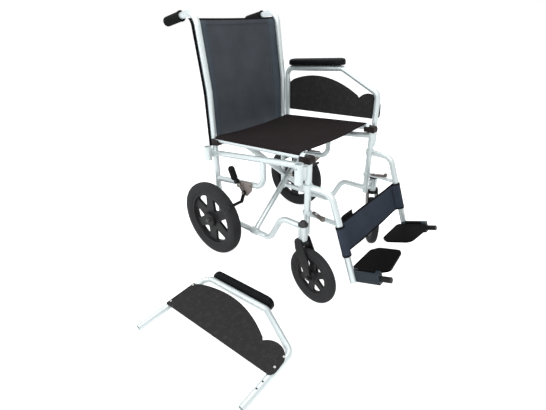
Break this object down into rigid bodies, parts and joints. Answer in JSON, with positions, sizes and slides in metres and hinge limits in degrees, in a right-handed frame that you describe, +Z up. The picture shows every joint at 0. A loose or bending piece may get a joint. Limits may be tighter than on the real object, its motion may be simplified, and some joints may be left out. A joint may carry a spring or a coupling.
{
  "type": "transport wheelchair",
  "caption": "Folding transport wheelchair with small rear wheels, front casters, swing-away footrests, calf strap, cloth seat and back, one armrest fitted and one lifted off beside it.",
  "frame": {"origin": "on the floor under the middle of the footprint of everything, the loose armrest included", "axes": "+X to the left of a seated person, +Y to the rear, +Z up; the footrests point to -Y"},
  "size_m": [1.0386, 0.9694, 0.9064],
  "materials": {
    "frame_paint": "smooth silver-grey powder coat",
    "back_cloth": "navy-grey woven nylon",
    "seat_cloth": "brown-black woven nylon",
    "strap_cloth": "navy-grey woven nylon",
    "tyre": "dark grey solid tyre, matt",
    "wheel_plastic": "black moulded nylon",
    "fork_plastic": "black moulded nylon, satin gloss",
    "grip_rubber": "black ribbed grip",
    "pad_skin": "black integral foam skin",
    "guard_plastic": "dark brown-black sheet",
    "footplate_plastic": "black moulded plastic",
    "saddle_plastic": "brown-black moulded plastic",
    "axle_steel": "zinc-plated steel",
    "brake_steel": "zinc-plated pressed steel"
  },
  "bodies": {
    "right_frame": {"right_back_post": "frame_paint", "right_front_post": "frame_paint", "right_upper_rail": "frame_paint", "right_lower_rail": "frame_paint", "right_brake_rail": "frame_paint", "right_caster_housing": "frame_paint", "right_arm_sockets": "frame_paint", "right_saddles": "saddle_plastic", "right_grip": "grip_rubber", "right_rear_axle": "axle_steel", "right_brake_bracket": "brake_steel", "back": "back_cloth"},
    "left_frame": {"left_back_post": "frame_paint", "left_front_post": "frame_paint", "left_upper_rail": "frame_paint", "left_lower_rail": "frame_paint", "left_brake_rail": "frame_paint", "left_caster_housing": "frame_paint", "left_arm_sockets": "frame_paint", "left_saddles": "saddle_plastic", "left_grip": "grip_rubber", "left_rear_axle": "axle_steel", "left_brake_bracket": "brake_steel"},
    "front_brace": {"front_brace_arm": "frame_paint", "left_seat_rail": "frame_paint", "brace_bolt": "axle_steel", "seat": "seat_cloth"},
    "rear_brace": {"rear_brace_arm": "frame_paint", "right_seat_rail": "frame_paint"},
    "left_armrest": {"left_arm_frame": "frame_paint", "left_arm_pad": "pad_skin", "left_arm_guard": "guard_plastic"},
    "right_armrest": {"right_arm_frame": "frame_paint", "right_arm_pad": "pad_skin", "right_arm_guard": "guard_plastic"},
    "right_rear_wheel_set": {"right_rear_tyre": "tyre", "right_rear_wheel": "wheel_plastic"},
    "right_caster": {"right_caster_fork": "fork_plastic"},
    "right_caster_roller": {"right_caster_tyre": "tyre", "right_caster_wheel": "wheel_plastic"},
    "right_brake_handle": {"right_brake_lever": "brake_steel"},
    "right_brake_foot": {"right_brake_shoe": "brake_steel"},
    "right_footrest": {"right_hanger": "frame_paint", "right_footplate_hinge": "footplate_plastic", "right_calf_strap": "strap_cloth"},
    "right_footrest_latch": {"right_latch": "footplate_plastic"},
    "right_plate": {"right_footplate": "footplate_plastic"},
    "left_rear_wheel_set": {"left_rear_tyre": "tyre", "left_rear_wheel": "wheel_plastic"},
    "left_caster": {"left_caster_fork": "fork_plastic"},
    "left_caster_roller": {"left_caster_tyre": "tyre", "left_caster_wheel": "wheel_plastic"},
    "left_brake_handle": {"left_brake_lever": "brake_steel"},
    "left_brake_foot": {"left_brake_shoe": "brake_steel"},
    "left_footrest": {"left_hanger": "frame_paint", "left_footplate_hinge": "footplate_plastic", "left_calf_strap": "strap_cloth"},
    "left_footrest_latch": {"left_latch": "footplate_plastic"},
    "left_plate": {"left_footplate": "footplate_plastic"}
  },
  "joints": [
    {"name": "fold", "type": "hinge", "parent": "right_frame", "child": "front_brace", "pos_m": [0.0043, 0.07611, 0.13], "axis": [0, -1, 0], "range_deg": [0, 38], "deforming": ["seat", "back", "right_calf_strap", "left_calf_strap"]},
    {"name": "brace_cross", "type": "hinge", "parent": "front_brace", "child": "rear_brace", "pos_m": [0.2123, 0.08861, 0.30592], "axis": [0, -1, 0], "range_deg": [-76, 0]},
    {"name": "left_frame_carry", "type": "hinge", "parent": "rear_brace", "child": "left_frame", "pos_m": [0.4203, 0.10111, 0.13], "axis": [0, -1, 0], "range_deg": [0, 38]},
    {"name": "right_rear_wheel_roll", "type": "hinge", "parent": "right_frame", "child": "right_rear_wheel_set", "pos_m": [-0.0637, 0.25111, 0.155], "axis": [1, 0, 0], "continuous": true},
    {"name": "right_caster_swivel", "type": "hinge", "parent": "right_frame", "child": "right_caster", "pos_m": [-0.03469, -0.18689, 0.22], "axis": [0, 0, 1], "continuous": true},
    {"name": "right_caster_roll", "type": "hinge", "parent": "right_caster", "child": "right_caster_roller", "pos_m": [-0.04252, -0.23627, 0.1], "axis": [0.9877, -0.1564, 0], "continuous": true},
    {"name": "right_brake_lever_turn", "type": "hinge", "parent": "right_frame", "child": "right_brake_handle", "pos_m": [-0.0137, 0.12911, 0.322], "axis": [1, 0, 0], "range_deg": [0, 45]},
    {"name": "right_brake_shoe_turn", "type": "hinge", "parent": "right_frame", "child": "right_brake_foot", "pos_m": [-0.0137, 0.10711, 0.298], "axis": [1, 0, 0], "range_deg": [-22.5, 0]},
    {"name": "right_footrest_swing", "type": "hinge", "parent": "right_frame", "child": "right_footrest", "pos_m": [0.0043, -0.17389, 0.35], "axis": [0, 0, -1], "range_deg": [0, 90]},
    {"name": "right_latch_turn", "type": "hinge", "parent": "right_footrest", "child": "right_footrest_latch", "pos_m": [0.0043, -0.21189, 0.309], "axis": [0, 0, -1], "range_deg": [0, 25]},
    {"name": "right_footplate_flip", "type": "hinge", "parent": "right_footrest", "child": "right_plate", "pos_m": [0.0223, -0.35189, 0.142], "axis": [0, -0.9397, 0.342], "range_deg": [0, 90]},
    {"name": "left_rear_wheel_roll", "type": "hinge", "parent": "left_frame", "child": "left_rear_wheel_set", "pos_m": [0.4883, 0.25111, 0.155], "axis": [1, 0, 0], "continuous": true},
    {"name": "left_caster_swivel", "type": "hinge", "parent": "left_frame", "child": "left_caster", "pos_m": [0.45931, -0.18689, 0.22], "axis": [0, 0, 1], "continuous": true},
    {"name": "left_caster_roll", "type": "hinge", "parent": "left_caster", "child": "left_caster_roller", "pos_m": [0.4199, -0.21767, 0.1], "axis": [0.6157, -0.788, 0], "continuous": true},
    {"name": "left_brake_lever_turn", "type": "hinge", "parent": "left_frame", "child": "left_brake_handle", "pos_m": [0.43831, 0.12911, 0.322], "axis": [1, 0, 0], "range_deg": [0, 45]},
    {"name": "left_brake_shoe_turn", "type": "hinge", "parent": "left_frame", "child": "left_brake_foot", "pos_m": [0.43831, 0.10711, 0.298], "axis": [1, 0, 0], "range_deg": [-22.5, 0]},
    {"name": "left_footrest_swing", "type": "hinge", "parent": "left_frame", "child": "left_footrest", "pos_m": [0.4203, -0.17389, 0.35], "axis": [0, 0, 1], "range_deg": [0, 90]},
    {"name": "left_latch_turn", "type": "hinge", "parent": "left_footrest", "child": "left_footrest_latch", "pos_m": [0.4203, -0.21189, 0.309], "axis": [0, 0, 1], "range_deg": [0, 25]},
    {"name": "left_footplate_flip", "type": "hinge", "parent": "left_footrest", "child": "left_plate", "pos_m": [0.40231, -0.35189, 0.142], "axis": [0, 0.9397, -0.342], "range_deg": [0, 90]},
    {"name": "left_armrest_lift", "type": "slide", "parent": "left_frame", "child": "left_armrest", "axis": [0, 0, 1], "range_m": [0, 0.12]},
    {"name": "right_armrest_lift", "type": "slide", "parent": "right_frame", "child": "right_armrest", "axis": [0, 0, -1], "range_m": [-0.3, 0]}
  ],
  "couplings": [
    {"joint": "brace_cross", "follows": "fold", "ratio": -2},
    {"joint": "left_frame_carry", "follows": "fold", "ratio": 1},
    {"joint": "right_footplate_flip", "follows": "fold", "ratio": 2.3684},
    {"joint": "right_brake_shoe_turn", "follows": "right_brake_lever_turn", "ratio": -0.5},
    {"joint": "left_footplate_flip", "follows": "fold", "ratio": 2.3684},
    {"joint": "left_brake_shoe_turn", "follows": "left_brake_lever_turn", "ratio": -0.5}
  ]
}
